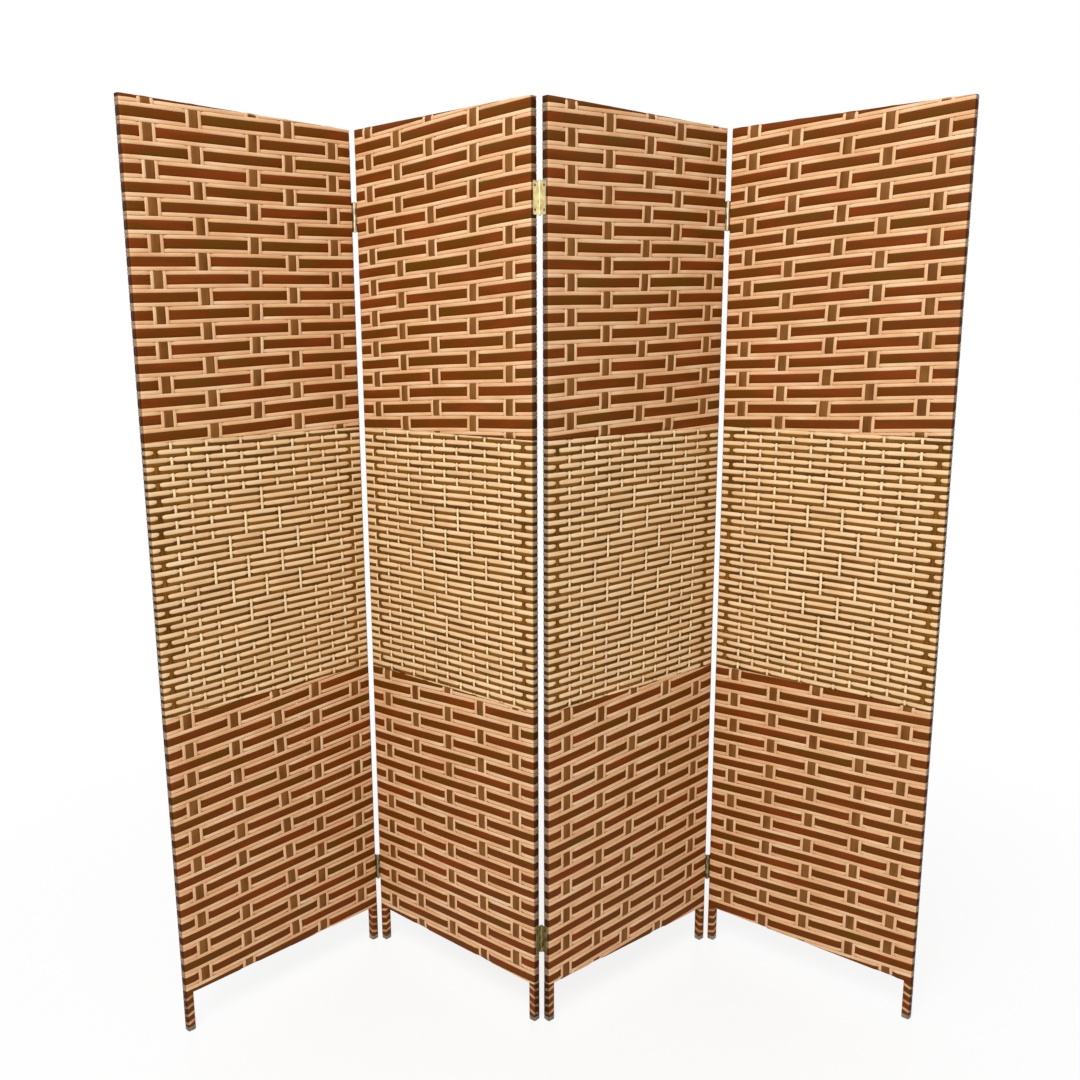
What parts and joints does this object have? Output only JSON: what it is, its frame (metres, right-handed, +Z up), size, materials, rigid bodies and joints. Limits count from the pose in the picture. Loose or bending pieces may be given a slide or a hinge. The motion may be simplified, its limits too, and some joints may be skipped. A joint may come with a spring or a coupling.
{
  "type": "folding screen",
  "caption": "Free-standing folding screen: tall woven panels on light wood frames, joined in a zigzag by butt hinges, standing on capped legs.",
  "frame": {"origin": "on the floor, at the middle of the standing screen's box", "axes": "+Z up, +X along the row of panels to the viewer's right, +Y from the front to the back"},
  "size_m": [1.4122, 0.3588, 1.7],
  "materials": {
    "frame_wood": "planed and stained softwood, satin",
    "tenoned_rail": "planed and stained softwood, satin",
    "striped_weave": "woven flat brown strip edged by pale twisted cord, matt",
    "pale_weave": "closely woven pale twisted cord over thin dark cord, matt",
    "leg_wrap": "wound brown strip and pale cord, matt",
    "foot_cap": "moulded grey-brown plastic, matt",
    "hinge_brass": "pale lacquered brass, satin",
    "pin_steel": "drawn wire, satin",
    "screw_steel": "dark bronzed steel, satin"
  },
  "bodies": {
    "panel_1": {"panel_1_left_post": "frame_wood", "panel_1_right_post": "frame_wood", "panel_1_top_rail": "tenoned_rail", "panel_1_mid_rails": "tenoned_rail", "panel_1_bottom_rail": "tenoned_rail", "panel_1_upper_weave": "striped_weave", "panel_1_middle_weave": "pale_weave", "panel_1_lower_weave": "striped_weave", "panel_1_leg_wraps": "leg_wrap", "panel_1_feet": "foot_cap", "panel_1_hinge_screws": "screw_steel", "hinge_12_upper_left_leaf": "hinge_brass", "hinge_12_lower_left_leaf": "hinge_brass", "hinge_12_pins": "pin_steel"},
    "panel_2": {"panel_2_left_post": "frame_wood", "panel_2_right_post": "frame_wood", "panel_2_top_rail": "tenoned_rail", "panel_2_mid_rails": "tenoned_rail", "panel_2_bottom_rail": "tenoned_rail", "panel_2_upper_weave": "striped_weave", "panel_2_middle_weave": "pale_weave", "panel_2_lower_weave": "striped_weave", "panel_2_leg_wraps": "leg_wrap", "panel_2_feet": "foot_cap", "panel_2_hinge_screws": "screw_steel", "hinge_12_upper_right_leaf": "hinge_brass", "hinge_12_lower_right_leaf": "hinge_brass", "hinge_23_upper_left_leaf": "hinge_brass", "hinge_23_lower_left_leaf": "hinge_brass", "hinge_23_pins": "pin_steel"},
    "panel_3": {"panel_3_left_post": "frame_wood", "panel_3_right_post": "frame_wood", "panel_3_top_rail": "tenoned_rail", "panel_3_mid_rails": "tenoned_rail", "panel_3_bottom_rail": "tenoned_rail", "panel_3_upper_weave": "striped_weave", "panel_3_middle_weave": "pale_weave", "panel_3_lower_weave": "striped_weave", "panel_3_leg_wraps": "leg_wrap", "panel_3_feet": "foot_cap", "panel_3_hinge_screws": "screw_steel", "hinge_23_upper_right_leaf": "hinge_brass", "hinge_23_lower_right_leaf": "hinge_brass", "hinge_34_upper_left_leaf": "hinge_brass", "hinge_34_lower_left_leaf": "hinge_brass", "hinge_34_pins": "pin_steel"},
    "panel_4": {"panel_4_left_post": "frame_wood", "panel_4_right_post": "frame_wood", "panel_4_top_rail": "tenoned_rail", "panel_4_mid_rails": "tenoned_rail", "panel_4_bottom_rail": "tenoned_rail", "panel_4_upper_weave": "striped_weave", "panel_4_middle_weave": "pale_weave", "panel_4_lower_weave": "striped_weave", "panel_4_leg_wraps": "leg_wrap", "panel_4_feet": "foot_cap", "panel_4_hinge_screws": "screw_steel", "hinge_34_upper_right_leaf": "hinge_brass", "hinge_34_lower_right_leaf": "hinge_brass"}
  },
  "joints": [
    {"name": "hinge_12", "type": "hinge", "parent": "panel_2", "child": "panel_1", "pos_m": [-0.38693, 0.14903, 0.85], "axis": [0, 0, 1], "range_deg": [-85.7, 94.3]},
    {"name": "hinge_23", "type": "hinge", "parent": "panel_2", "child": "panel_3", "pos_m": [-0.01855, -0.11716, 0.85], "axis": [0, 0, 1], "range_deg": [-79.9, 100.1]},
    {"name": "hinge_34", "type": "hinge", "parent": "panel_3", "child": "panel_4", "pos_m": [0.33589, 0.16732, 0.85], "axis": [0, 0, -1], "range_deg": [-78.5, 101.5]}
  ]
}
